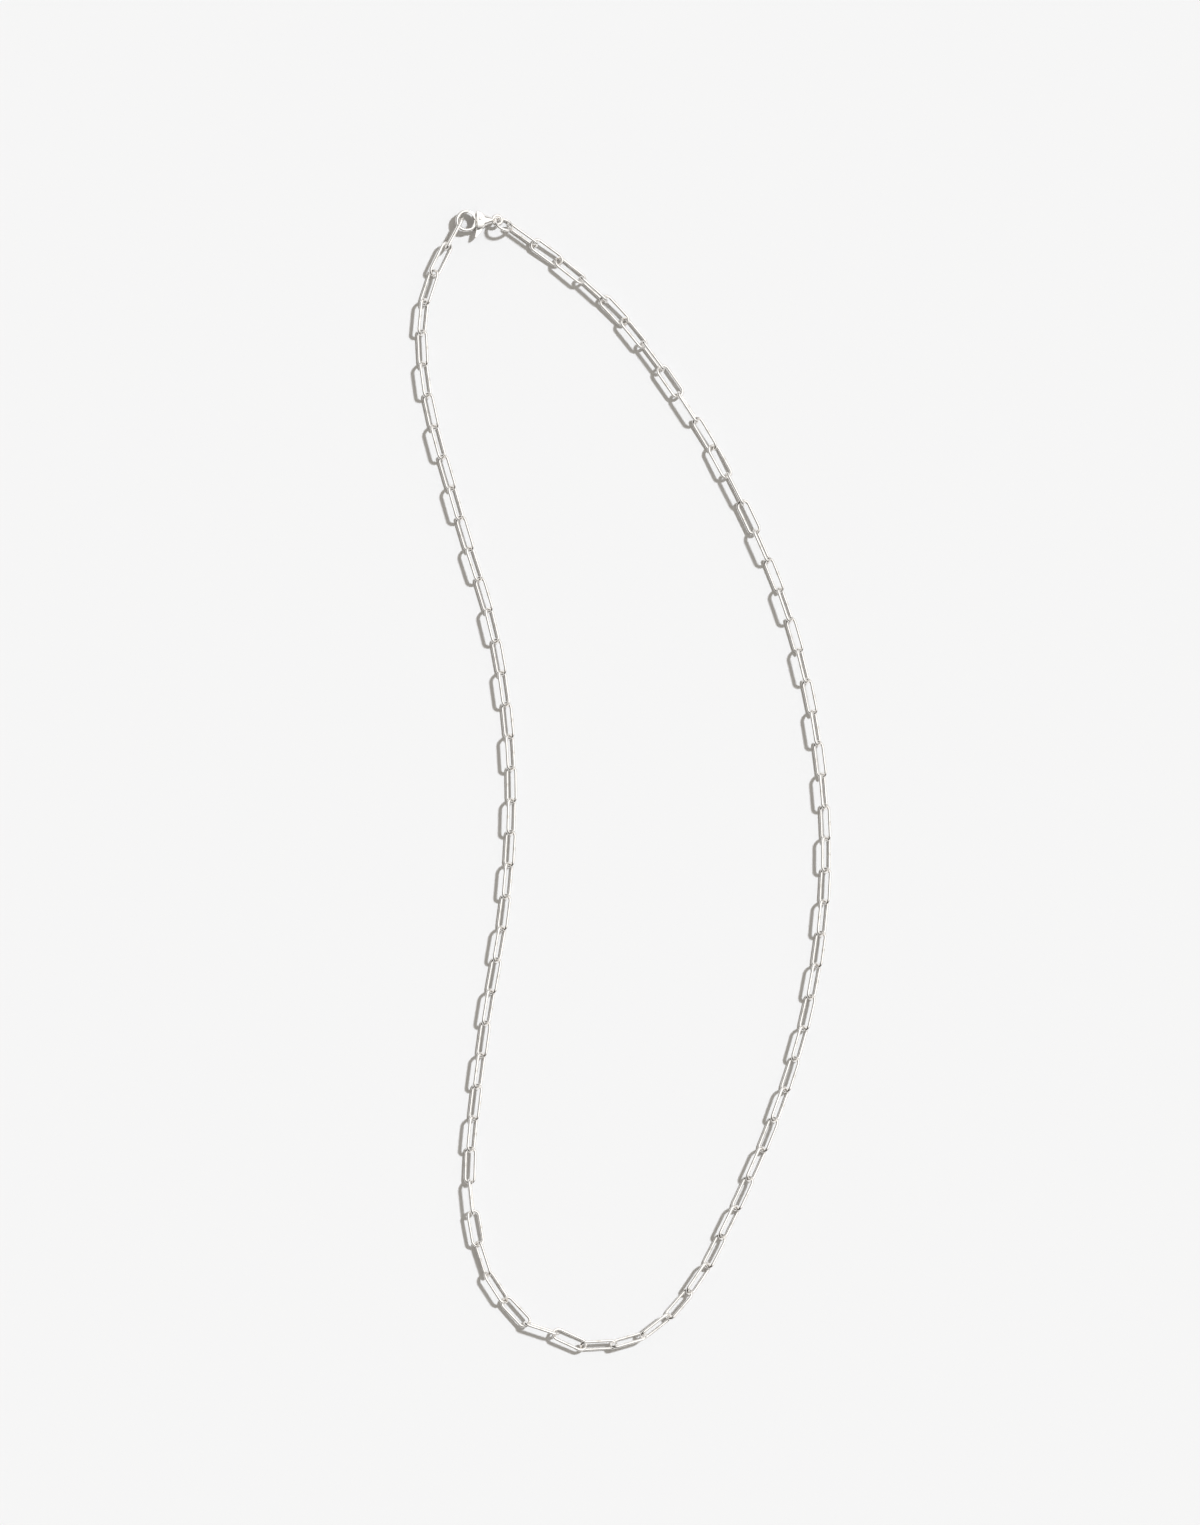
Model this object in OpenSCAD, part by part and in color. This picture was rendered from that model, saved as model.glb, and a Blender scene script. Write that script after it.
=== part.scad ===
// Cable chain necklace of long oval links, closed with a lobster clasp and a
// jump ring, lying on a table as one whole loop. Sizes are in millimetres.
// The table is z = 0, and the clasp is at the far end, +Y.

/* [Links] */
// Outer length of one link
link_len = 7.6; // [7.55:0.05:7.65]
// Outer width of one link
link_w = 2.9; // [2.85:0.05:2.95]
// Wire diameter of the links
wire_d = 0.6; // [0.55:0.05:0.6]
// Air left where two links would touch
contact_gap = 0.08; // [0.06:0.01:0.1]

/* [Jump ring] */
// Outer diameter of the jump ring
ring_od = 4.2; // [4.1:0.05:4.3]
// Wire diameter of the jump ring
ring_wire = 0.6; // [0.5:0.05:0.65]
// Tilt of the ring's plane from the table
ring_tilt = 56; // [55:1:57]

/* [Clasp] */
// Outer diameter of the claw
claw_od = 4.4; // [4.3:0.05:4.5]
// Width of the claw's bar, seen from above
claw_bar = 0.7; // [0.65:0.05:0.75]
// Thickness of the claw's bar, up from the table
claw_t = 1.4; // [1.3:0.05:1.4]
// Thickness of the clasp's body
body_t = 2.3; // [2.1:0.1:2.4]
// Distance from the claw's centre to the tail eye's centre
clasp_reach = 6.05; // [5.95:0.05:6.15]
// Wire diameter of the tail eye
eye_wire = 0.65; // [0.55:0.05:0.65]
// Clear hole in the tail eye
eye_hole = 1.15; // [1.1:0.05:1.2]

/* [Lever] */
// Thickness of the lever
lever_t = 0.9; // [0.8:0.05:0.9]
// Diameter of the pivot pin
pin_d = 0.6; // [0.5:0.05:0.6]
// Play between the lever's bore and the pin, on the radius
pin_play = 0.03; // [0.02:0.01:0.05]

/* [Hidden] */
$fn = 48;

// Where the chain lies: points on its middle line, from the claw round to the
// jump ring, taken by eye from the photograph and rounded to half a millimetre.
// Columns: x, y
route = [
    [-32.5, 110.0],
    [-39.5, 94.5],
    [-39.0, 76.0],
    [-32.5, 51.5],
    [-25.5, 27.5],
    [-22.5, 2.5],
    [-23.5, -23.0],
    [-27.5, -48.0],
    [-30.5, -73.0],
    [-30.0, -85.5],
    [-27.0, -97.5],
    [-19.5, -107.0],
    [-13.5, -109.0],
    [-8.0, -111.5],
    [3.5, -109.5],
    [12.5, -101.0],
    [19.0, -90.0],
    [29.5, -66.5],
    [36.5, -43.0],
    [39.5, -18.0],
    [38.0, 7.0],
    [32.5, 31.5],
    [23.0, 54.5],
    [11.0, 75.5],
    [-4.0, 94.5],
    [-22.5, 109.0],
    [-28.0, 112.0],
];
route_steps = 12;
// Brings the middle of the whole outline to x = 0, y = 0
outline_shift = [0.31, 0.07];

// How far the links' planes tilt from the table, going from the claw round to
// the jump ring: odd links raise their left side, even links their right side.
// Columns: first link, last link, odd links' tilt, even links' tilt
usual_tilts = [
    [1, 31, 42, 57],
    [32, 57, 52, 42],
    [58, 80, 68, 46],
];
// Links that lie otherwise, as the chain twists where it turns. A positive
// tilt raises the link's left side.
// Columns: link number, tilt
own_tilts = [
    [1, 80],
    [2, -38],
    [31, 35],
    [32, -85],
    [33, -22],
    [34, 60],
    [35, -50],
    [36, 12],
    [37, -84],
    [38, -30],
    [39, 46],
    [40, -60],
    [41, 58],
    [42, -46],
    [67, 75],
    [68, -22],
    [69, -84],
    [70, 32],
    [71, -40],
    [72, 80],
    [73, 20],
    [74, -76],
    [75, 44],
    [76, -18],
    [77, -78],
    [78, 42],
    [79, -14],
    [80, -70],
];

// How much closer than taut the links lie, where the chain is loose
// Columns: first link, last link, slack
slacks = [
    [1, 1, 1.0],
    [2, 4, 0.32],
    [5, 11, 0.05],
    [29, 36, 0.09],
    [37, 40, 0.3],
    [55, 66, 0.06],
    [67, 73, 0.12],
    [74, 80, 0.45],
];

// How much lower than its neighbour's middle a link's end may lie
end_drop = 0.2;

// Two links, one through the other, make a pair
link_pairs = 40;
link_count = 2 * link_pairs;
link_bend_r = (link_w - wire_d) / 2;
link_straight = link_len - link_w;
taut_pitch = link_len - 2 * wire_d - contact_gap;

// Jump ring and clasp
ring_r = (ring_od - ring_wire) / 2;
// How far the ring is from taut, in the tail eye and in the last link
eye_play = 0.15;
link_play = 0.13;
claw_r = claw_od / 2;
claw_hole_r = claw_r - claw_bar;
// The claw's centre from the first contact
claw_offset = [1.2, 0.2];
clasp_turn = 1.5;
eye_r = (eye_hole + eye_wire) / 2;

// Body of the clasp: a ball behind the claw that tapers to a round tail, and
// a second ball that blends the claw into it
ball_x = 2.0;
ball_r = 2.0;
neck_x = 1.0;
neck_r = 2.1;
tail_x = 5.25;
tail_r = 0.42;
// Radius of the body's back and underside, across it
crown_r = 4.0;
// The corner where the body stops, so that the claw's mouth is open
mouth_x = 1.75;
mouth_y = 0.1;

// Lever: a hub on the pin, an arm that closes the claw on one side, and a
// trigger that stands out on the other: pulled towards the tail, it opens the
// claw. The pivot is given from the claw's centre, x towards the tail.
pivot = [2.75, 0.35];
hub_r = 0.55;
// How far the pin stands out of the body, above and below
pin_proud = 0.1;
pin_len = body_t + 2 * pin_proud;
pin_seat_gap = 0.01;
// From the pivot to the end of the arm
arm_reach = 2.67;
arm_inset = 0.04;
arm_start = 22;
arm_end = 100;
tip_gap = 0.08;
claw_start = 60;
claw_end = 335;
heel_end = [1.45, 0.6];
heel_w = 0.6;
// Outline of the trigger, and of the slot that it swings in, from the pivot
trigger = [
    [-0.33, 0.0],
    [-1.2, -3.55],
    [-1.05, -3.75],
    [-0.85, -3.7],
    [0.25, -2.45],
    [0.2, 0.0],
];
trigger_slot = [
    [-0.45, 0.0],
    [-1.7, -4.0],
    [1.0, -4.5],
    [3.6, -2.8],
    [0.5, 0.0],
];
// Air beside the lever in the body's slots, across them and round the hub
slot_gap = 0.05;
slot_clear = 0.1;
// The arm's slot, as angles about the pivot
slot_from = 62;
slot_to = 230;
slot_reach = 4;

function pair_name(pair) = str(
    "links_",
    pair < 6 ? "0" : "", pair * 2 - 1,
    "_",
    pair < 5 ? "0" : "", pair * 2
);

// A smooth curve through four points, between the second and the third
function curve_point(a, b, c, d, t) =
    b
    + (c - a) * t / 2
    + (2 * a - 5 * b + 4 * c - d) * t * t / 2
    + (3 * b - a - 3 * c + d) * t * t * t / 2;

function smooth_route() = [
    for (i = [0 : len(route) - 2])
        for (step = [0 : route_steps - 1])
            curve_point(
                route[max(i - 1, 0)],
                route[i],
                route[i + 1],
                route[min(i + 2, len(route) - 1)],
                step / route_steps
            ),
    route[len(route) - 1],
];

// The first stretch of the path that ends a full step away from a point
function stretch_at(path, from, step, i) =
    norm(path[i + 1] - from) >= step ? i : stretch_at(path, from, step, i + 1);

// The point of the stretch from a to b that is exactly a step away
function point_at(a, b, from, step) =
    let (
        along = b - a,
        back = a - from,
        half = back * along,
        rest = back * back - step * step
    )
    a + along * (sqrt(half * half - along * along * rest) - half) / (along * along);

function slack(number) =
    let (found = [for (row = slacks) if (row[0] <= number && number <= row[1]) row[2]])
    len(found) > 0 ? found[0] : 0;

function link_pitch(number) = taut_pitch - slack(number);

// The contacts along the path, one link after the other
function walk(path, from, number, i) =
    number > link_count ? [from] : let (
        step = link_pitch(number),
        j = stretch_at(path, from, step, i),
        next = point_at(path[j], path[j + 1], from, step)
    )
    concat([from], walk(path, next, number + 1, j));

function own_tilt(number) = [for (row = own_tilts) if (row[0] == number) row[1]];

function usual_tilt(number) =
    let (stretch = [
        for (row = usual_tilts)
            if (row[0] <= number && number <= row[1]) row
    ][0])
    number % 2 == 1 ? stretch[2] : -stretch[3];

function link_tilt(number) =
    len(own_tilt(number)) > 0 ? own_tilt(number)[0] : usual_tilt(number);

// Height of a tilted link's middle when its low side lies on the table
function link_height(number) =
    link_bend_r * abs(sin(link_tilt(number))) + wire_d / 2;

// Height of a link's end: a flat link is held up by a steep neighbour
function end_height(number, neighbour) = max(
    link_height(number),
    link_height(max(1, min(neighbour, link_count))) - end_drop
);

// The ring's middle is higher than the clasp and the last link, so its wire
// meets them below its widest places
clasp_z = link_height(1);
ring_z = ring_r * sin(ring_tilt) + ring_wire / 2;
ring_sag = (ring_z - clasp_z) / sin(ring_tilt);
ring_half_span = sqrt(ring_r * ring_r - ring_sag * ring_sag);
ring_overlap = ring_wire / 2 + contact_gap / 2;
end_distance = 2 * ring_half_span - ring_overlap - eye_play - link_play;

// Where the clasp's tail eye is, for a chain that starts at a given point
function eye_for(start) =
    start + claw_offset + clasp_reach * [cos(clasp_turn), sin(clasp_turn)];

// The contacts of a chain laid along the route, with the route drawn at a size
function start_for(size) = size * route[0] + outline_shift;

function contacts_for(size) = walk(
    [for (point = smooth_route()) size * point + outline_shift],
    start_for(size),
    1,
    0
);

function end_miss(size) =
    norm(contacts_for(size)[link_count] - eye_for(start_for(size))) - end_distance;

// The size of route at which the last link ends just where the ring needs it
function closing_size(low, low_miss, high, high_miss, rounds) =
    let (middle = low - low_miss * (high - low) / (high_miss - low_miss))
    rounds == 0 ? middle : closing_size(
        high, high_miss, middle, end_miss(middle), rounds - 1
    );

// Taut pitch of the links that the route was drawn for
drawn_pitch = 6.32;
first_size = taut_pitch / drawn_pitch;
second_size = first_size + 0.002;
size_rounds = 3;
route_size = closing_size(
    first_size, end_miss(first_size),
    second_size, end_miss(second_size),
    size_rounds
);

// Contact 0 is at the claw, and contact k is where link k meets the next
contacts = contacts_for(route_size);

// The clasp lies at the height of the first link, which goes round its claw
claw_pos = contacts[0] + claw_offset;
eye_pos = eye_for(contacts[0]);
ring_way = contacts[link_count] - eye_pos;
ring_turn = atan2(ring_way.y, ring_way.x);
ring_pos = eye_pos
    + (ring_half_span - eye_play) * [cos(ring_turn), sin(ring_turn)]
    + ring_sag * cos(ring_tilt) * [sin(ring_turn), -cos(ring_turn)];

module half_ring(bend_r, wire) {
    rotate([0, 0, -90])
        rotate_extrude(angle = 180)
            translate([bend_r, 0])
                circle(d = wire);
}

// One link, lying flat, long along X
module chain_link() {
    for (end = [0, 1])
        mirror([end, 0, 0])
            translate([link_straight / 2, 0, 0])
                half_ring(link_bend_r, wire_d);
    for (side = [-1, 1])
        translate([-link_straight / 2, side * link_bend_r, 0])
            rotate([0, 90, 0])
                cylinder(d = wire_d, h = link_straight);
}

// One link in its place, between two contacts
module placed_link(number) {
    from = [each contacts[number - 1], end_height(number, number - 1)];
    to = [each contacts[number], end_height(number, number + 1)];
    way = to - from;
    translate((from + to) / 2)
        rotate([0, -asin(way.z / norm(way)), atan2(way.y, way.x)])
            rotate([link_tilt(number), 0, 0])
                chain_link();
}

module link_pair(pair) {
    color("silver") {
        placed_link(2 * pair - 1);
        placed_link(2 * pair);
    }
}

module jump_ring() {
    color("silver")
        translate([ring_pos.x, ring_pos.y, ring_z])
            rotate([0, 0, ring_turn])
                rotate([-ring_tilt, 0, 0])
                    rotate_extrude()
                        translate([ring_r, 0])
                            circle(d = ring_wire);
}

module at_clasp() {
    translate([claw_pos.x, claw_pos.y, clasp_z])
        rotate([0, 0, clasp_turn])
            children();
}

// Section of the claw's bar: upright, with round top and bottom
module bar_section() {
    for (side = [-1, 1])
        translate([claw_r - claw_bar / 2, side * (claw_t - claw_bar) / 2])
            circle(d = claw_bar);
    translate([claw_r - claw_bar, (claw_bar - claw_t) / 2])
        square([claw_bar, claw_t - claw_bar]);
}

// The claw goes round from its tip to the body
module claw() {
    difference() {
        rotate([0, 0, claw_start])
            rotate_extrude(angle = claw_end - claw_start)
                bar_section();
        intersection() {
            translate([pivot.x, pivot.y, -claw_t])
                cylinder(r = arm_reach + tip_gap, h = 2 * claw_t);
            translate([-claw_od, 0, -claw_t])
                cube([2 * claw_od, claw_od, 2 * claw_t]);
        }
    }
}

// A long round that the body's back, or its underside, follows
module crown(side) {
    translate([-claw_r, 0, side * (body_t / 2 - crown_r)])
        rotate([0, 90, 0])
            cylinder(r = crown_r, h = tail_x + 2 * claw_r);
}

// The tapering body, gently rounded above and below
module taper() {
    intersection() {
        union() {
            translate([neck_x, 0, 0])
                sphere(r = neck_r);
            translate([ball_x, 0, 0])
                sphere(r = ball_r);
            translate([ball_x, 0, 0])
                rotate([0, 90, 0])
                    cylinder(r1 = ball_r, r2 = tail_r, h = tail_x - ball_x);
        }
        crown(1);
        crown(-1);
    }
}

// The slots that the lever swings in, open to the claw and to both sides
module lever_slots() {
    slot_t = lever_t + 2 * slot_gap;
    translate([pivot.x, pivot.y, -slot_t / 2])
        linear_extrude(slot_t) {
            circle(r = hub_r + slot_clear);
            polygon([
                [0, 0],
                for (angle = [slot_from, (slot_from + slot_to) / 2, slot_to])
                    slot_reach * [cos(angle), sin(angle)],
            ]);
            polygon(trigger_slot);
        }
}

module clasp_body() {
    color("silver")
        at_clasp() {
            claw();
            difference() {
                taper();
                cylinder(r = claw_hole_r, h = 2 * body_t, center = true);
                translate([mouth_x - claw_od, mouth_y, -body_t])
                    cube([claw_od, claw_od, 2 * body_t]);
                lever_slots();
                translate([pivot.x, pivot.y, -body_t])
                    cylinder(d = pin_d + 2 * pin_seat_gap, h = 2 * body_t);
            }
            translate([clasp_reach, 0, 0])
                rotate_extrude()
                    translate([eye_r, 0])
                        circle(d = eye_wire);
        }
}

// The arm follows the claw's round and ends short of its tip
module lever_arm() {
    intersection() {
        rotate([0, 0, arm_start])
            rotate_extrude(angle = arm_end - arm_start)
                translate([claw_hole_r + arm_inset, -lever_t / 2])
                    square([claw_bar - 2 * arm_inset, lever_t]);
        translate([pivot.x, pivot.y, -lever_t])
            cylinder(r = arm_reach, h = 2 * lever_t);
    }
}

// A bar with a round end, from the pivot to a point
module lever_bar(end, width) {
    way = end - pivot;
    translate([pivot.x, pivot.y, -lever_t / 2])
        rotate([0, 0, atan2(way.y, way.x)])
            linear_extrude(lever_t) {
                translate([0, -width / 2])
                    square([norm(way) - width / 2, width]);
                translate([norm(way) - width / 2, 0])
                    circle(d = width);
            }
}

module clasp_lever() {
    color("gainsboro")
        at_clasp()
            difference() {
                union() {
                    lever_arm();
                    lever_bar(heel_end, heel_w);
                    translate([pivot.x, pivot.y, -lever_t / 2])
                        linear_extrude(lever_t) {
                            circle(r = hub_r);
                            polygon(trigger);
                        }
                }
                translate([pivot.x, pivot.y, -lever_t])
                    cylinder(d = pin_d + 2 * pin_play, h = 2 * lever_t);
            }
}

module lever_pin() {
    color("silver")
        at_clasp()
            translate([pivot.x, pivot.y, -pin_len / 2])
                cylinder(d = pin_d, h = pin_len);
}

for (pair = [1 : link_pairs])
    link_pair(pair);
jump_ring();
clasp_body();
clasp_lever();
lever_pin();
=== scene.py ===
import math

import bmesh
import bpy
import numpy as np
from mathutils import Matrix, Vector


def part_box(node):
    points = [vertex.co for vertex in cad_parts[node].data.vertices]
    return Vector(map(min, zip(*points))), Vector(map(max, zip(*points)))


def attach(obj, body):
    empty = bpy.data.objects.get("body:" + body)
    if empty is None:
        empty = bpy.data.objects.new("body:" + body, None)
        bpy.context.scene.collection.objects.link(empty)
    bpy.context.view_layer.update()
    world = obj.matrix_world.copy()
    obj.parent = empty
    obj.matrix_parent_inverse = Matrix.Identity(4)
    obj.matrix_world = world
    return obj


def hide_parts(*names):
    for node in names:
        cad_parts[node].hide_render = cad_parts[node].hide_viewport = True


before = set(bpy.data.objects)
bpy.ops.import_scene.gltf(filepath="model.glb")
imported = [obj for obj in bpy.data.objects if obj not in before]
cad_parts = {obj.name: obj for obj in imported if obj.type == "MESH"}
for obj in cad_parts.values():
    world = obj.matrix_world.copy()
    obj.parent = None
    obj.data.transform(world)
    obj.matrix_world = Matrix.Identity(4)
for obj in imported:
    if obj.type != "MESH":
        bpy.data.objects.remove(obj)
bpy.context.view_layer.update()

MM = 0.001

# The photograph: its size in pixels, its scale, and where the frame's origin is in it
PHOTO_W = 1200
PHOTO_H = 1525
PX_PER_MM = 5.07
ORIGIN_PX = (623.8, 780.5)

# Points of a CAD solid that are nearer to each other than this are one point
MERGE_DISTANCE = 1e-7

# Links
WIRE_SIDES = 24
BEND_STEPS = 20
STRAIGHT_STEPS = 8
SEAM_WIDTH = 0.05 * MM
SEAM_DEPTH = 0.004 * MM
CONTACT_REACH = 0.55 * MM
CONTACT_DENT = 0.008 * MM

# Jump ring
RING_STEPS = 120
RING_SLIT = 0.035 * MM
RING_SLIT_DEPTH = 0.05 * MM
RING_SLIT_TURN = 115
# Steps across the slit, in slit widths, and the turn near it that has no other steps
RING_SLIT_STEPS = (-2.5, -1.5, -0.8, -0.3, 0, 0.3, 0.8, 1.5, 2.5)
RING_SLIT_CLEAR = 0.08

# Clasp, in millimetres and degrees: the shapes of the metal that the CAD nodes hold
CLASP_TURN = 1.5
CLAW_R = 2.2
CLAW_HOLE_R = 1.5
CLAW_T = 1.4
CLAW_FROM = 60
CLAW_TO = 335
BODY_T = 2.3
# The round of the body's back, across it, and its step down to the claw
CROWN_R = 4.0
SHOULDER = 0.35
BALL_X = 2.0
BALL_R = 2.0
NECK_X = 1.0
NECK_R = 2.1
TAIL_X = 5.25
TAIL_R = 0.42
MOUTH = (1.75, 0.1)
PIVOT = (2.75, 0.35)
HUB_R = 0.55
PIN_R = 0.3
PIN_SEAT_GAP = 0.01
PIN_PLAY = 0.03
ARM_REACH = 2.67
ARM_INSET = 0.04
ARM_FROM = 22
ARM_TO = 100
TIP_GAP = 0.08
HEEL_END = (1.45, 0.6)
HEEL_W = 0.6
LEVER_T = 0.9
# Outlines and angles from the pivot: the trigger, and the room that the lever swings in
TRIGGER = ((-0.33, 0.0), (-1.2, -3.55), (-1.05, -3.75), (-0.85, -3.7), (0.25, -2.45), (0.2, 0.0))
TRIGGER_SLOT = ((-0.45, 0.0), (-1.7, -4.0), (1.0, -4.5), (3.6, -2.8), (0.5, 0.0))
SLOT_T = 1.0
SLOT_R = 0.65
SLOT_FROM = 62
SLOT_TO = 230
SLOT_REACH = 4.0
REACH = 6.05
EYE_R = 0.9
EYE_WIRE_R = 0.325
PIN_DOME = 0.08
# From the middle of the clasp to beyond its top and bottom, for what is cut away
CUT_REACH = 3.0

# How finely the clasp's round shapes are made
TURN_SIDES = 96
BALL_ROWS = 64
CROWN_SIDES = 180
CLAW_STEPS = 140
ARM_STEPS = 48
BAR_ROUND_STEPS = 12
ROUND_STEPS = 16
PIN_SIDES = 48
PIN_DOME_STEPS = 6
# The even skin of a casting: its grain, in millimetres, and how often it is polished
BODY_GRAIN = 0.045
BODY_POLISH = 5
LEVER_GRAIN = 0.035
LEVER_POLISH = 3
POLISH_SHARE = 0.5


# Meshes

def new_object(name, points, faces):
    mesh = bpy.data.meshes.new(name)
    mesh.from_pydata([tuple(p) for p in points], [], faces)
    mesh.update()
    obj = bpy.data.objects.new(name, mesh)
    bpy.context.scene.collection.objects.link(obj)
    return obj


def smooth(obj):
    for face in obj.data.polygons:
        face.use_smooth = True


def set_mask(obj, name, values):
    """A number per point for the material, such as where two links touch and painted shade darkens
    them.
    """
    layer = obj.data.attributes.new(name, "FLOAT", "POINT")
    layer.data.foreach_set("value", np.asarray(values, np.float32))


def tube(centres, normals, binormals, radii, sides):
    """Points and faces of a closed loop of wire along a closed path."""
    turn = np.linspace(0, 2 * np.pi, sides, endpoint=False)
    ring = (
        np.cos(turn)[None, :, None] * normals[:, None, :]
        + np.sin(turn)[None, :, None] * binormals[:, None, :]
    )
    points = centres[:, None, :] + radii[:, :, None] * ring
    count = len(centres)
    faces = []
    for i in range(count):
        j = (i + 1) % count
        for k in range(sides):
            m = (k + 1) % sides
            faces.append((i * sides + k, j * sides + k, j * sides + m, i * sides + m))
    return points.reshape(-1, 3), faces


def loose_parts(obj):
    """The triangles of each closed solid in a CAD node, in order of the solids' y."""
    work = bmesh.new()
    work.from_mesh(obj.data)
    bmesh.ops.remove_doubles(work, verts=work.verts, dist=MERGE_DISTANCE)
    bmesh.ops.triangulate(work, faces=work.faces)
    done = set()
    parts = []
    for first in work.faces:
        if first in done:
            continue
        done.add(first)
        grow = [first]
        part = []
        while grow:
            face = grow.pop()
            part.append([v.co[:] for v in face.verts])
            for edge in face.edges:
                for other in edge.link_faces:
                    if other not in done:
                        done.add(other)
                        grow.append(other)
        parts.append(np.array(part))
    work.free()
    return sorted(parts, key=lambda part: part[:, :, 1].mean())


def placement(triangles):
    """Middle, axes (longest first, none pointing backwards) and sizes of a closed ring."""
    sides = triangles[:, 1] - triangles[:, 0], triangles[:, 2] - triangles[:, 0]
    areas = np.linalg.norm(np.cross(*sides), axis=1) / 2
    middles = triangles.mean(axis=1)
    centre = (middles * areas[:, None]).sum(axis=0) / areas.sum()
    spread = (middles - centre) * np.sqrt(areas)[:, None]
    _, _, axes = np.linalg.svd(spread, full_matrices=False)
    for axis in axes:
        axis *= np.sign(axis[np.argmax(np.abs(axis))])
    axes[2] = np.cross(axes[0], axes[1])
    reach = (triangles.reshape(-1, 3) - centre) @ axes.T
    low, high = reach.min(axis=0), reach.max(axis=0)
    return centre + ((low + high) / 2) @ axes, axes, high - low


def link_path(length, width, wire):
    """Points of a long oval's middle line, and the way out of the oval at each."""
    bend_r = (width - wire) / 2
    half = (length - width) / 2
    path, outward = [], []
    for end in (1, -1):
        for i in range(BEND_STEPS):
            a = (i / BEND_STEPS - 0.5) * math.pi
            path.append((end * (half + bend_r * math.cos(a)), end * bend_r * math.sin(a)))
            outward.append((end * math.cos(a), end * math.sin(a)))
        for i in range(STRAIGHT_STEPS):
            x = end * half * (1 - 2 * i / STRAIGHT_STEPS)
            path.append((x, end * bend_r))
            outward.append((0, end))
    return np.array(path), np.array(outward)


def link_mesh(triangles, seam_side):
    """Points, faces and masks of one link, with its soldered seam, its rubbed ends, and painted
    shade at those ends.
    """
    centre, axes, size = placement(triangles)
    length, width, wire = size
    path, outward = link_path(length, width, wire)
    flat = np.zeros((len(path), 1))
    centres = np.hstack([path, flat])
    out = np.hstack([outward, flat])
    up = np.tile([0.0, 0.0, 1.0], (len(path), 1))
    seam = np.exp(-((path[:, 0] / SEAM_WIDTH) ** 2)) * (path[:, 1] * seam_side > 0)
    end_gap = length / 2 - wire / 2 - np.abs(path[:, 0])
    end_near = np.exp(-((np.hypot(end_gap, path[:, 1]) / CONTACT_REACH) ** 2))
    turn = np.linspace(0, 2 * np.pi, WIRE_SIDES, endpoint=False)
    inner = np.clip(-np.cos(turn), 0, 1) ** 2
    # Near each end, on the inner side of the bend where the next link passes: the wire is dented a
    # little, and painted shade darkens it there
    rub_and_shade = end_near[:, None] * inner[None, :]
    radii = wire / 2 - SEAM_DEPTH * seam[:, None] - CONTACT_DENT * rub_and_shade
    points, faces = tube(centres, out, up, radii, WIRE_SIDES)
    return {
        "points": centre + points @ axes,
        "faces": faces,
        "rub_and_shade": rub_and_shade.reshape(-1),
        "seam": np.repeat(seam, WIRE_SIDES),
    }


def link_pair(node_name, number):
    """Both links of a node, as one piece."""
    links = [
        link_mesh(part, 1 if (number + i) % 2 else -1)
        for i, part in enumerate(loose_parts(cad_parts[node_name]))
    ]
    points, faces, shift = [], [], 0
    for link in links:
        points.append(link["points"])
        faces += [tuple(v + shift for v in face) for face in link["faces"]]
        shift += len(link["points"])
    piece = new_object("wire_" + node_name, np.vstack(points), faces)
    for mask in ("rub_and_shade", "seam"):
        set_mask(piece, mask, np.concatenate([link[mask] for link in links]))
    smooth(piece)
    return piece


def ring_piece():
    """The jump ring, with the thin slit where its ends meet."""
    (triangles,) = loose_parts(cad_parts["jump_ring"])
    centre, axes, size = placement(triangles)
    wire = size[2]
    bend_r = (size[0] - wire) / 2
    slit = math.radians(RING_SLIT_TURN)
    near = np.array(RING_SLIT_STEPS) * RING_SLIT / bend_r
    around = np.linspace(0, 2 * np.pi, RING_STEPS, endpoint=False)
    around = around[np.abs(around) > RING_SLIT_CLEAR]
    around = np.sort(np.concatenate([around, near])) + slit
    out = np.stack([np.cos(around), np.sin(around), 0 * around], axis=1)
    up = np.tile([0.0, 0.0, 1.0], (len(around), 1))
    seam = np.exp(-(((around - slit) * bend_r / RING_SLIT) ** 2))
    radii = np.repeat((wire / 2 - RING_SLIT_DEPTH * seam)[:, None], WIRE_SIDES, axis=1)
    points, faces = tube(bend_r * out, out, up, radii, WIRE_SIDES)
    piece = new_object("wire_jump_ring", centre + points @ axes, faces)
    set_mask(piece, "rub_and_shade", np.zeros(len(points)))
    set_mask(piece, "seam", np.repeat(seam, WIRE_SIDES))
    smooth(piece)
    return piece


# The clasp, built in millimetres and then put in its place

def to_mesh_object(name, work):
    mesh = bpy.data.meshes.new(name)
    work.to_mesh(mesh)
    work.free()
    obj = bpy.data.objects.new(name, mesh)
    bpy.context.scene.collection.objects.link(obj)
    return obj


def skin_rings(work, rings, whole):
    """Faces from each ring of points to the next, and caps if the row isn't a whole turn."""
    pairs = list(zip(rings, rings[1:])) + ([(rings[-1], rings[0])] if whole else [])
    for one, two in pairs:
        for i in range(len(one)):
            j = (i + 1) % len(one)
            work.faces.new((one[i], two[i], two[j], one[j]))
    if not whole:
        work.faces.new(list(reversed(rings[0])))
        work.faces.new(rings[-1])
    bmesh.ops.recalc_face_normals(work, faces=work.faces)


def ball(name, x, radius):
    work = bmesh.new()
    bmesh.ops.create_uvsphere(
        work, u_segments=TURN_SIDES, v_segments=BALL_ROWS, radius=radius
    )
    bmesh.ops.translate(work, verts=work.verts, vec=(x, 0, 0))
    return to_mesh_object(name, work)


def cone(name, start_x, start_r, end_x, end_r):
    """A cone with its middle line along x."""
    work = bmesh.new()
    bmesh.ops.create_cone(
        work, cap_ends=True, segments=TURN_SIDES,
        radius1=start_r, radius2=end_r, depth=end_x - start_x,
    )
    turn = Matrix.Rotation(math.radians(90), 4, "Y")
    place = Matrix.Translation(((start_x + end_x) / 2, 0, 0))
    bmesh.ops.transform(work, matrix=place @ turn, verts=work.verts)
    return to_mesh_object(name, work)


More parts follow.
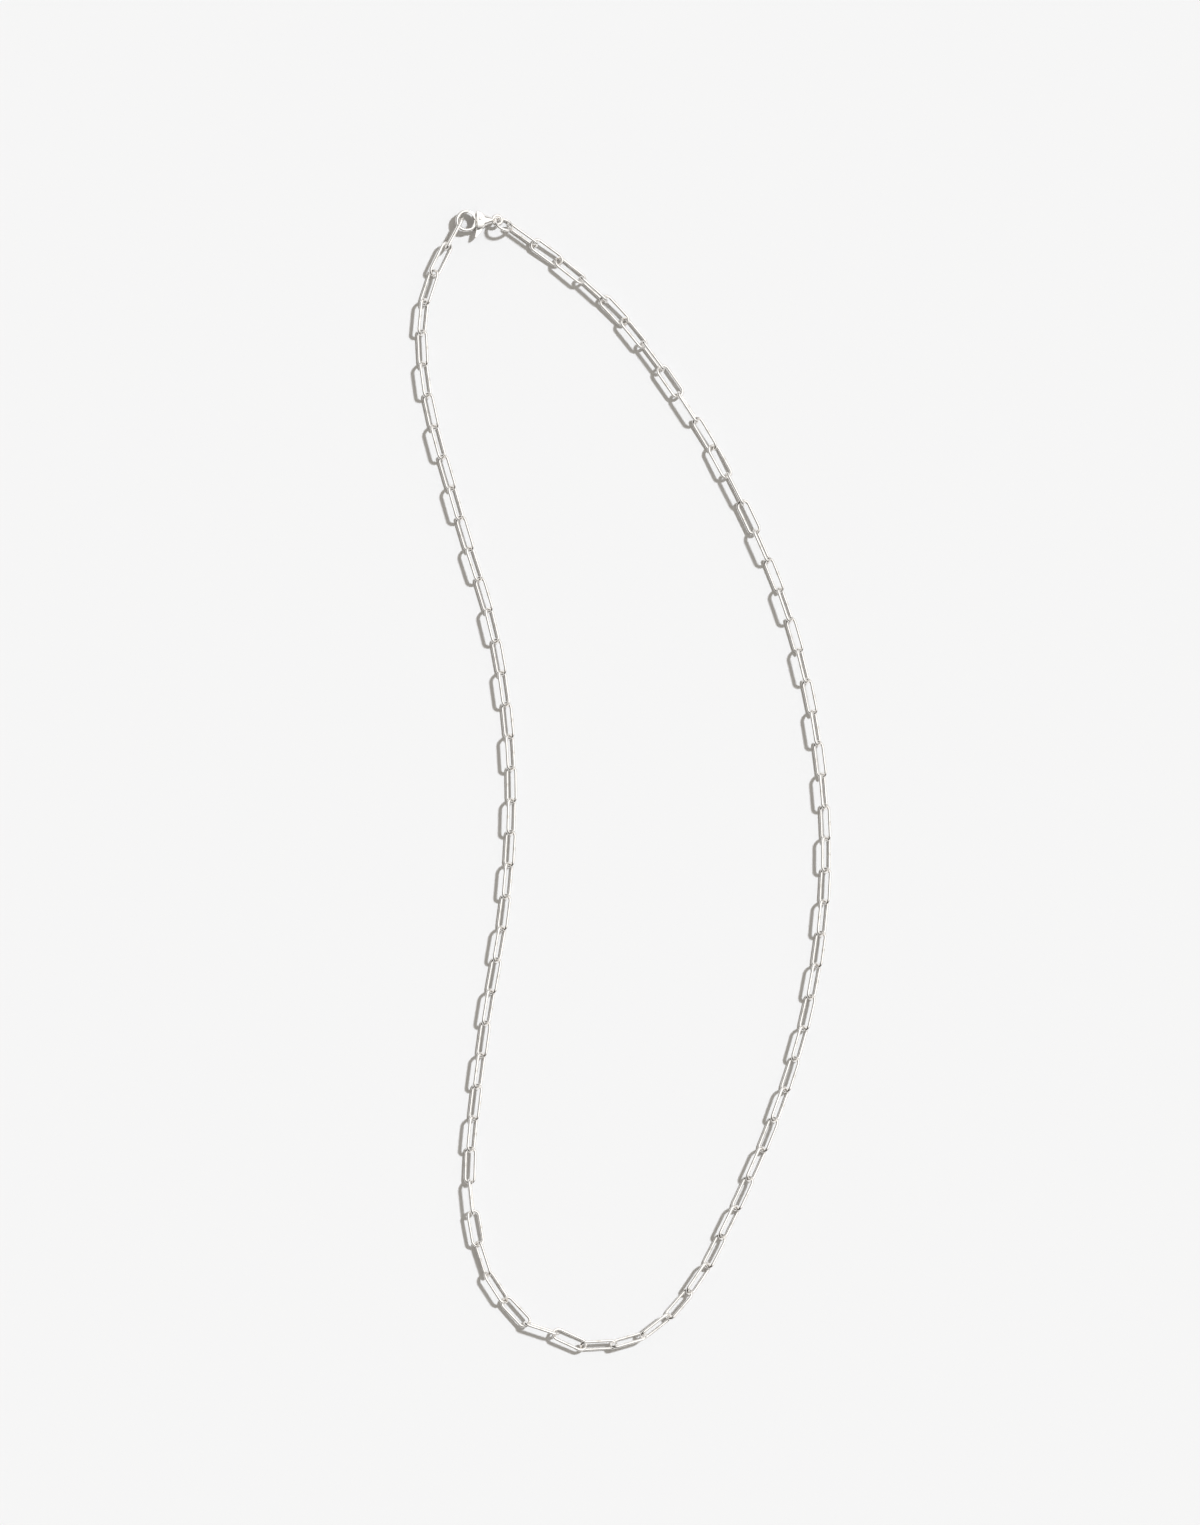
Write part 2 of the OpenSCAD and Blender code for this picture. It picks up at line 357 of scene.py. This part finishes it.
def disc(name, place, radius, height):
    """An upright round bar, made this high about z = 0."""
    work = bmesh.new()
    bmesh.ops.create_cone(
        work, cap_ends=True, segments=TURN_SIDES, radius1=radius, radius2=radius, depth=height
    )
    bmesh.ops.translate(work, verts=work.verts, vec=(place[0], place[1], 0))
    return to_mesh_object(name, work)


def box(name, low, high):
    work = bmesh.new()
    bmesh.ops.create_cube(work, size=1)
    middle = [(a + b) / 2 for a, b in zip(low, high)]
    scale = Matrix.Diagonal([b - a for a, b in zip(low, high)] + [1])
    bmesh.ops.transform(work, matrix=Matrix.Translation(middle) @ scale, verts=work.verts)
    return to_mesh_object(name, work)


def slab(name, outline, height):
    """A flat outline, made this thick about z = 0."""
    work = bmesh.new()
    low = [work.verts.new((x, y, -height / 2)) for x, y in outline]
    high = [work.verts.new((x, y, height / 2)) for x, y in outline]
    count = len(outline)
    for i in range(count):
        j = (i + 1) % count
        work.faces.new((low[i], low[j], high[j], high[i]))
    work.faces.new(list(reversed(low)))
    work.faces.new(high)
    bmesh.ops.recalc_face_normals(work, faces=work.faces)
    return to_mesh_object(name, work)


def arc(centre, radius, start, end, steps):
    """Points of an arc, from one angle to another in degrees."""
    angles = np.radians(np.linspace(start, end, steps + 1))
    return [
        (centre[0] + radius * math.cos(a), centre[1] + radius * math.sin(a))
        for a in angles
    ]


def bar_outline(end, width):
    """A bar from the pivot to a point, with a round end there."""
    way = Vector(end) - Vector(PIVOT)
    along = way.normalized()
    heading = math.degrees(math.atan2(along.y, along.x))
    across = Vector((-along.y, along.x)) * width / 2
    tip = Vector(PIVOT) + along * (way.length - width / 2)
    start = Vector(PIVOT)
    return [tuple(start + across), tuple(start - across)] + arc(
        tip, width / 2, heading - 90, heading + 90, ROUND_STEPS
    )


def ring_part(name, centre, radius, section, start, end, steps):
    """A section, given from the ring's middle line, swept part of the way round."""
    work = bmesh.new()
    whole = abs(end - start) >= 360
    turns = np.radians(np.linspace(start, end, steps + (0 if whole else 1), endpoint=not whole))
    rings = [
        [
            work.verts.new(
                (
                    centre[0] + (radius + across) * math.cos(a),
                    centre[1] + (radius + across) * math.sin(a),
                    height,
                )
            )
            for across, height in section
        ]
        for a in turns
    ]
    skin_rings(work, rings, whole)
    return to_mesh_object(name, work)


def round_section(radius, lift, steps):
    """An upright section with round ends: the middles of the rounds are lift from the middle."""
    return arc((0, lift), radius, 0, 180, steps) + arc((0, -lift), radius, 180, 360, steps)


def apply_modifiers(obj):
    bpy.context.view_layer.update()
    seen = obj.evaluated_get(bpy.context.evaluated_depsgraph_get())
    mesh = bpy.data.meshes.new_from_object(seen)
    obj.modifiers.clear()
    obj.data = mesh


def combine(obj, others, operation):
    for other in others:
        step = obj.modifiers.new(operation.lower(), "BOOLEAN")
        step.operation = operation
        step.solver = "EXACT"
        step.object = other
        apply_modifiers(obj)
        bpy.data.objects.remove(other)


def soften(obj, grain, rounds):
    """Makes one even skin of the metal and rounds its edges, as casting and polishing do."""
    skin = obj.modifiers.new("skin", "REMESH")
    skin.mode = "VOXEL"
    skin.voxel_size = grain
    polish = obj.modifiers.new("polish", "SMOOTH")
    polish.factor = POLISH_SHARE
    polish.iterations = rounds
    apply_modifiers(obj)


def clasp_frame():
    """From the clasp's modelling space to its place, by the pin that the CAD places."""
    low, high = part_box("lever_pin")
    pin = (Vector(low) + Vector(high)) / 2
    turn = Matrix.Rotation(math.radians(CLASP_TURN), 4, "Z")
    place = Matrix.Translation(pin) @ turn @ Matrix.Translation((-PIVOT[0] * MM, -PIVOT[1] * MM, 0))
    return place @ Matrix.Scale(MM, 4)


def put_in_place(obj, name):
    obj.data.transform(clasp_frame())
    obj.name = name
    obj.data.name = name
    smooth(obj)
    return obj


def claw_shape():
    """The claw goes round from its tip to the body, and stops short of the lever's arm."""
    bar = CLAW_R - CLAW_HOLE_R
    section = round_section(bar / 2, (CLAW_T - bar) / 2, BAR_ROUND_STEPS)
    claw = ring_part(
        "claw", (0, 0), CLAW_R - bar / 2, section, CLAW_FROM, CLAW_TO, CLAW_STEPS
    )
    tip_cut = disc("tip_cut", PIVOT, ARM_REACH + TIP_GAP, 2 * CLAW_T)
    upper = box("upper", (-2 * CLAW_R, 0, -CUT_REACH), (2 * CLAW_R, 2 * CLAW_R, CUT_REACH))
    combine(tip_cut, [upper], "INTERSECT")
    combine(claw, [tip_cut], "DIFFERENCE")
    return claw


def from_pivot(outline):
    return [(PIVOT[0] + x, PIVOT[1] + y) for x, y in outline]


def slot_shape():
    """The room that the lever swings in: for its arm, its hub and its trigger."""
    fan = [PIVOT]
    for angle in (SLOT_FROM, (SLOT_FROM + SLOT_TO) / 2, SLOT_TO):
        a = math.radians(angle)
        fan.append((PIVOT[0] + SLOT_REACH * math.cos(a), PIVOT[1] + SLOT_REACH * math.sin(a)))
    slot = slab("slot", fan, SLOT_T)
    hub = disc("slot_hub", PIVOT, SLOT_R, SLOT_T)
    trigger = slab("slot_trigger", from_pivot(TRIGGER_SLOT), SLOT_T)
    combine(slot, [hub, trigger], "UNION")
    return slot


def crown(side):
    """The long round of the body's back, or its underside, with a shoulder at the mouth."""
    profile = (
        (-CLAW_R, CROWN_R - SHOULDER),
        (MOUTH[0], CROWN_R - SHOULDER),
        (MOUTH[0] + SHOULDER, CROWN_R),
        (TAIL_X + CLAW_R, CROWN_R),
    )
    height = side * (BODY_T / 2 - CROWN_R)
    turn = np.linspace(0, 2 * np.pi, CROWN_SIDES, endpoint=False)
    work = bmesh.new()
    rings = [
        [work.verts.new((x, r * math.cos(a), height + r * math.sin(a))) for a in turn]
        for x, r in profile
    ]
    skin_rings(work, rings, False)
    return to_mesh_object("crown", work)


def clasp_body_piece():
    body = ball("neck", NECK_X, NECK_R)
    combine(
        body,
        [
            ball("ball", BALL_X, BALL_R),
            cone("taper", BALL_X, BALL_R, TAIL_X, TAIL_R),
        ],
        "UNION",
    )
    combine(body, [crown(1), crown(-1)], "INTERSECT")
    cuts = [
        disc("hole", (0, 0), CLAW_HOLE_R, 2 * BODY_T),
        box("mouth", (-2 * CLAW_R, MOUTH[1], -CUT_REACH), (MOUTH[0], 2 * CLAW_R, CUT_REACH)),
        slot_shape(),
        disc("pin_hole", PIVOT, PIN_R + PIN_SEAT_GAP, 2 * BODY_T),
    ]
    combine(body, cuts, "DIFFERENCE")
    wire = round_section(EYE_WIRE_R, 0, ROUND_STEPS)
    eye = ring_part("eye", (REACH, 0), EYE_R, wire, 0, 360, TURN_SIDES)
    combine(body, [claw_shape(), eye], "UNION")
    soften(body, BODY_GRAIN, BODY_POLISH)
    return put_in_place(body, "cast_clasp_body")


def lever_piece():
    outside = arc((0, 0), CLAW_R - ARM_INSET, ARM_FROM, ARM_TO, ARM_STEPS)
    inside = arc((0, 0), CLAW_HOLE_R + ARM_INSET, ARM_TO, ARM_FROM, ARM_STEPS)
    arm = slab("arm", outside + inside, LEVER_T)
    combine(arm, [disc("reach", PIVOT, ARM_REACH, 2 * LEVER_T)], "INTERSECT")
    combine(
        arm,
        [
            slab("trigger", from_pivot(TRIGGER), LEVER_T),
            slab("heel", bar_outline(HEEL_END, HEEL_W), LEVER_T),
            disc("hub", PIVOT, HUB_R, LEVER_T),
        ],
        "UNION",
    )
    combine(arm, [disc("bore", PIVOT, PIN_R + PIN_PLAY, 2 * LEVER_T)], "DIFFERENCE")
    soften(arm, LEVER_GRAIN, LEVER_POLISH)
    return put_in_place(arm, "cast_clasp_lever")


def pin_piece():
    """The pin, with slightly domed ends."""
    low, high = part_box("lever_pin")
    half = (high[2] - low[2]) / 2 / MM
    outline = [(0, half)]
    outline += [
        ((PIN_R - PIN_DOME) + PIN_DOME * math.sin(a), half - PIN_DOME + PIN_DOME * math.cos(a))
        for a in np.radians(np.linspace(0, 90, PIN_DOME_STEPS + 1))
    ]
    outline += [(r, -z) for r, z in reversed(outline)]
    work = bmesh.new()
    rings = []
    for r, z in outline:
        if r == 0:
            rings.append([work.verts.new((PIVOT[0], PIVOT[1], z))])
            continue
        rings.append([
            work.verts.new((PIVOT[0] + r * math.cos(a), PIVOT[1] + r * math.sin(a), z))
            for a in np.linspace(0, 2 * math.pi, PIN_SIDES, endpoint=False)
        ])
    for one, two in zip(rings, rings[1:]):
        for k in range(PIN_SIDES):
            m = (k + 1) % PIN_SIDES
            corners = [one[k % len(one)], two[k % len(two)], two[m % len(two)], one[m % len(one)]]
            work.faces.new(list(dict.fromkeys(corners)))
    bmesh.ops.recalc_face_normals(work, faces=work.faces)
    return put_in_place(to_mesh_object("pin", work), "wire_lever_pin")


# Materials

# Noise scales are in waves per metre. A tint is the colour of the polished metal.
DRAWN_TINT = (0.970, 0.946, 0.918)
CLASP_TINT = (0.960, 0.936, 0.908)
LEVER_TINT = (0.950, 0.926, 0.898)
PIN_TINT = (0.940, 0.916, 0.888)
DRAWN_ROUGHNESS = 0.07
CAST_ROUGHNESS = 0.09
PIN_ROUGHNESS = 0.1
CLOUD_SCALE = 420.0
CLOUD_DETAIL = 3.0
CLOUD_SHADE = 0.93
# The noise between which the tone goes from shaded to full
CLOUD_SPREAD = (0.3, 0.7)
# Painted shade and tarnish: a dark brown laid over the metal where links touch, standing for the
# shade between them, and along the seams
TARNISH_AND_SHADE = (0.46, 0.42, 0.35, 1)
TARNISH_AND_SHADE_SHARE = 0.3
WORN_ROUGHNESS = 0.1
SCRATCH_STRETCHES = ((9000.0, 900.0, 900.0), (900.0, 9000.0, 900.0))
SCRATCH_TURN = (0.3, 0.5, 0.6)
SCRATCH_SCALE = 2.5
SCRATCH_DETAIL = 4.0
# What the scratches' pattern gives between scratches, and in them
SCRATCH_SPREAD = (0.12, 0.45)
SCRATCH_STRENGTH = 0.12
SCRATCH_DEPTH = 0.004 * MM
# How much smoother and rougher than average the metal is, between scratches and in them
GLOSS_SPREAD = (0.75, 1.6)
WAVE_DETAIL = 1.0
WAVE_DEPTH = 0.03 * MM
DRAWN_WAVES = {"scale": 900.0, "strength": 0.15}
CAST_WAVES = {"scale": 1300.0, "strength": 0.25}


def make(tree, kind, **values):
    """A new node, with these values on its inputs."""
    node = tree.nodes.new("ShaderNode" + kind)
    for name, value in values.items():
        node.inputs[name.replace("_", " ")].default_value = value
    return node


def join(tree, output, node, socket):
    tree.links.new(output, node.inputs[socket])


def calculate(tree, operation, *values):
    """The result of a sum, from numbers and from other nodes' outputs."""
    node = make(tree, "Math")
    node.operation = operation
    for socket, value in enumerate(values):
        if isinstance(value, float):
            node.inputs[socket].default_value = value
        else:
            join(tree, value, node, socket)
    return node.outputs["Value"]


def cloudy_tone(tree, place, tint):
    """A slow change of tone over the metal."""
    cloud = make(tree, "TexNoise", Scale=CLOUD_SCALE, Detail=CLOUD_DETAIL)
    join(tree, place, cloud, "Vector")
    tone = make(tree, "ValToRGB")
    shaded, full = tone.color_ramp.elements
    shaded.position, full.position = CLOUD_SPREAD
    shaded.color = (*[c * CLOUD_SHADE for c in tint], 1)
    full.color = (*tint, 1)
    join(tree, cloud.outputs["Fac"], tone, "Fac")
    return tone.outputs["Color"]


def shade_and_wear_places(tree):
    """Where links touch, for painted shade between them, and where their ends are joined."""
    masks = []
    for name in ("rub_and_shade", "seam"):
        mask = make(tree, "Attribute")
        mask.attribute_name = name
        masks.append(mask.outputs["Fac"])
    return calculate(tree, "MAXIMUM", *masks)


def tarnished_and_shaded(tree, tone, wear_and_shade):
    """The tone, darker and browner where links touch, as painted shade between them, and along the
    seams.
    """
    mix = make(tree, "Mix")
    mix.data_type = "RGBA"
    join(tree, calculate(tree, "MULTIPLY", wear_and_shade, TARNISH_AND_SHADE_SHARE), mix, "Factor")
    clean, dull_and_shaded = [s for s in mix.inputs if s.type == "RGBA"]
    tree.links.new(tone, clean)
    dull_and_shaded.default_value = TARNISH_AND_SHADE
    return [s for s in mix.outputs if s.type == "RGBA"][0]


def polishing_scratches(tree, place):
    """Fine scratches in two directions."""
    grains = []
    for stretch in SCRATCH_STRETCHES:
        mapping = make(tree, "Mapping", Scale=stretch, Rotation=SCRATCH_TURN)
        join(tree, place, mapping, "Vector")
        grain = make(tree, "TexNoise", Scale=SCRATCH_SCALE, Detail=SCRATCH_DETAIL)
        join(tree, mapping.outputs["Vector"], grain, "Vector")
        grains.append(grain.outputs["Fac"])
    return calculate(tree, "MULTIPLY", *grains)


def silver_roughness(tree, scratches, wear_and_shade, rough):
    """Rougher in the scratches, at the ends of the links where they touch, and along the seams."""
    gloss = make(
        tree, "MapRange", From_Min=SCRATCH_SPREAD[0], From_Max=SCRATCH_SPREAD[1],
        To_Min=rough * GLOSS_SPREAD[0], To_Max=rough * GLOSS_SPREAD[1],
    )
    join(tree, scratches, gloss, "Value")
    return calculate(tree, "MULTIPLY_ADD", wear_and_shade, WORN_ROUGHNESS, gloss.outputs["Result"])


def silver_relief(tree, place, scratches, waves):
    """The soft waviness of drawn wire or of a casting, with the scratches on it."""
    wave = make(tree, "TexNoise", Scale=waves["scale"], Detail=WAVE_DETAIL)
    join(tree, place, wave, "Vector")
    wavy = make(tree, "Bump", Strength=waves["strength"], Distance=WAVE_DEPTH)
    join(tree, wave.outputs["Fac"], wavy, "Height")
    fine = make(tree, "Bump", Strength=SCRATCH_STRENGTH, Distance=SCRATCH_DEPTH)
    join(tree, scratches, fine, "Height")
    join(tree, wavy.outputs["Normal"], fine, "Normal")
    return fine.outputs["Normal"]


def polished_silver(name, tint, rough, waves):
    material = bpy.data.materials.new(name)
    material.use_nodes = True
    tree = material.node_tree
    tree.nodes.clear()
    out = make(tree, "OutputMaterial")
    shader = make(tree, "BsdfPrincipled", Metallic=1.0)
    join(tree, shader.outputs["BSDF"], out, "Surface")
    place = make(tree, "TexCoord").outputs["Object"]
    wear_and_shade = shade_and_wear_places(tree)
    scratches = polishing_scratches(tree, place)
    # The tone gets painted shade where links touch, and tarnish along the seams
    tone = tarnished_and_shaded(tree, cloudy_tone(tree, place, tint), wear_and_shade)
    join(tree, tone, shader, "Base Color")
    join(tree, silver_roughness(tree, scratches, wear_and_shade, rough), shader, "Roughness")
    join(tree, silver_relief(tree, place, scratches, waves), shader, "Normal")
    return material


TABLE_TONE = (0.80, 0.80, 0.80, 1)


def table_paper():
    """Matt, without any gloss."""
    material = bpy.data.materials.new("pale_table")
    material.use_nodes = True
    shader = material.node_tree.nodes["Principled BSDF"]
    shader.inputs["Base Color"].default_value = TABLE_TONE
    shader.inputs["Roughness"].default_value = 1.0
    shader.inputs["Specular IOR Level"].default_value = 0.0
    return material


# The object

def dress(piece, material, body, node_name):
    """Gives a piece its metal, its body, and the CAD node that it takes the place of."""
    piece.data.materials.clear()
    piece.data.materials.append(material)
    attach(piece, body)
    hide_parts(node_name)


def build_chain():
    material = polished_silver("link_silver", DRAWN_TINT, DRAWN_ROUGHNESS, DRAWN_WAVES)
    names = sorted(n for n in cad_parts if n.startswith("links_"))
    for number, node_name in enumerate(names):
        dress(link_pair(node_name, number), material, "necklace", node_name)


def build_closure():
    ring = polished_silver("ring_silver", DRAWN_TINT, DRAWN_ROUGHNESS, DRAWN_WAVES)
    dress(ring_piece(), ring, "necklace", "jump_ring")
    cast = polished_silver("clasp_silver", CLASP_TINT, CAST_ROUGHNESS, CAST_WAVES)
    dress(clasp_body_piece(), cast, "necklace", "clasp_body")
    lever = polished_silver("lever_silver", LEVER_TINT, CAST_ROUGHNESS, CAST_WAVES)
    dress(lever_piece(), lever, "lever", "clasp_lever")
    pin = polished_silver("pin_silver", PIN_TINT, PIN_ROUGHNESS, DRAWN_WAVES)
    dress(pin_piece(), pin, "necklace", "lever_pin")


# The studio

FLOOR_HALF = 6.0
LIGHT_WAY = Vector((0.74, 0.51, 1.0))
SUN_STRENGTH = 3.33
SUN_TINT = (0.930, 0.957, 1.0)
SUN_ANGLE = 5.0
# The room's even light on the table, which is all that reaches the shadows
AMBIENT = (0.374, 0.350, 0.314, 1)
BACKDROP = (0.92, 0.92, 0.92, 1)
# What polished metal mirrors is bright overhead and towards the light, and dim
# near the horizon and away from the light. Each row is a cosine, from the light
# or from overhead, and the tone there.
TOWARDS_LIGHT = (
    (-1.0, (0.10, 0.093, 0.083)),
    (0.25, (0.11, 0.103, 0.093)),
    (0.53, (1.14, 1.13, 1.11)),
    (1.0, (1.5, 1.5, 1.48)),
)
TOWARDS_ZENITH = (
    (-1.0, (0.12, 0.112, 0.10)),
    (0.12, (0.14, 0.132, 0.12)),
    (0.33, (1.14, 1.13, 1.11)),
    (1.0, (1.5, 1.5, 1.48)),
)


def build_floor():
    corners = [(-1, -1), (1, -1), (1, 1), (-1, 1)]
    floor = new_object(
        "floor", [(x * FLOOR_HALF, y * FLOOR_HALF, 0) for x, y in corners], [(0, 1, 2, 3)]
    )
    floor.data.materials.append(table_paper())


def build_light():
    lamp = bpy.data.lights.new("key", "SUN")
    lamp.energy = SUN_STRENGTH
    lamp.angle = math.radians(SUN_ANGLE)
    lamp.color = SUN_TINT
    key = bpy.data.objects.new("key", lamp)
    key.rotation_mode = "QUATERNION"
    key.rotation_quaternion = LIGHT_WAY.to_track_quat("Z", "Y")
    bpy.context.scene.collection.objects.link(key)
    # The silver mirrors the room alone, so it throws no glints on the table
    key.visible_glossy = False


def room_tones(tree, way, rows):
    """A tone for each direction of the room, by the cosine of its angle from one way."""
    facing = make(tree, "VectorMath")
    facing.operation = "DOT_PRODUCT"
    facing.inputs[1].default_value = way.normalized()
    join(tree, make(tree, "TexCoord").outputs["Generated"], facing, 0)
    tones = make(tree, "ValToRGB")
    join(tree, calculate(tree, "MULTIPLY_ADD", facing.outputs["Value"], 0.5, 0.5), tones, "Fac")
    first, last = tones.color_ramp.elements
    first.color = (*rows[0][1], 1)
    last.color = (*rows[-1][1], 1)
    for cosine, tone in rows[1:-1]:
        tones.color_ramp.elements.new(cosine / 2 + 0.5).color = (*tone, 1)
    return tones.outputs["Color"]


def mirrored_room(tree):
    """The darker of the two tones, in each direction."""
    darker = make(tree, "VectorMath")
    darker.operation = "MINIMUM"
    join(tree, room_tones(tree, LIGHT_WAY, TOWARDS_LIGHT), darker, 0)
    join(tree, room_tones(tree, Vector((0, 0, 1)), TOWARDS_ZENITH), darker, 1)
    mirrored = make(tree, "Background")
    join(tree, darker.outputs["Vector"], mirrored, "Color")
    return mirrored


def either(tree, share, shader, other):
    """One shader where the share is nought, and the other where it is one."""
    mix = make(tree, "MixShader")
    join(tree, share, mix, 0)
    join(tree, shader.outputs[0], mix, 1)
    join(tree, other.outputs[0], mix, 2)
    return mix


def build_room():
    """One even light for the table, a plain backdrop, and the studio that the silver mirrors."""
    world = bpy.data.worlds.new("room")
    bpy.context.scene.world = world
    world.use_nodes = True
    tree = world.node_tree
    tree.nodes.clear()
    even = make(tree, "Background", Color=AMBIENT)
    backdrop = make(tree, "Background", Color=BACKDROP)
    rays = make(tree, "LightPath")
    scattered = calculate(tree, "GREATER_THAN", rays.outputs["Diffuse Depth"], 0.5)
    lit = either(tree, scattered, mirrored_room(tree), even)
    seen = either(tree, rays.outputs["Is Camera Ray"], lit, backdrop)
    join(tree, seen.outputs[0], make(tree, "OutputWorld"), "Surface")


# In millimetres
CAMERA_LENS = 200.0
CAMERA_SENSOR = 36.0
# In metres
NEAREST = 0.05
FARTHEST = 50.0


def build_camera():
    """Straight above the table, so far off that the picture has next to no perspective."""
    data = bpy.data.cameras.new("camera")
    data.lens = CAMERA_LENS
    data.sensor_width = CAMERA_SENSOR
    camera = bpy.data.objects.new("camera", data)
    x = (PHOTO_W / 2 - ORIGIN_PX[0]) / PX_PER_MM * MM
    y = (ORIGIN_PX[1] - PHOTO_H / 2) / PX_PER_MM * MM
    view_height = PHOTO_H / PX_PER_MM * MM
    camera.location = (x, y, view_height * CAMERA_LENS / CAMERA_SENSOR)
    data.clip_start = NEAREST
    data.clip_end = FARTHEST
    bpy.context.scene.collection.objects.link(camera)
    bpy.context.scene.camera = camera
    bpy.context.scene.view_settings.view_transform = "Standard"


build_camera()
build_floor()
build_light()
build_room()
build_chain()
build_closure()
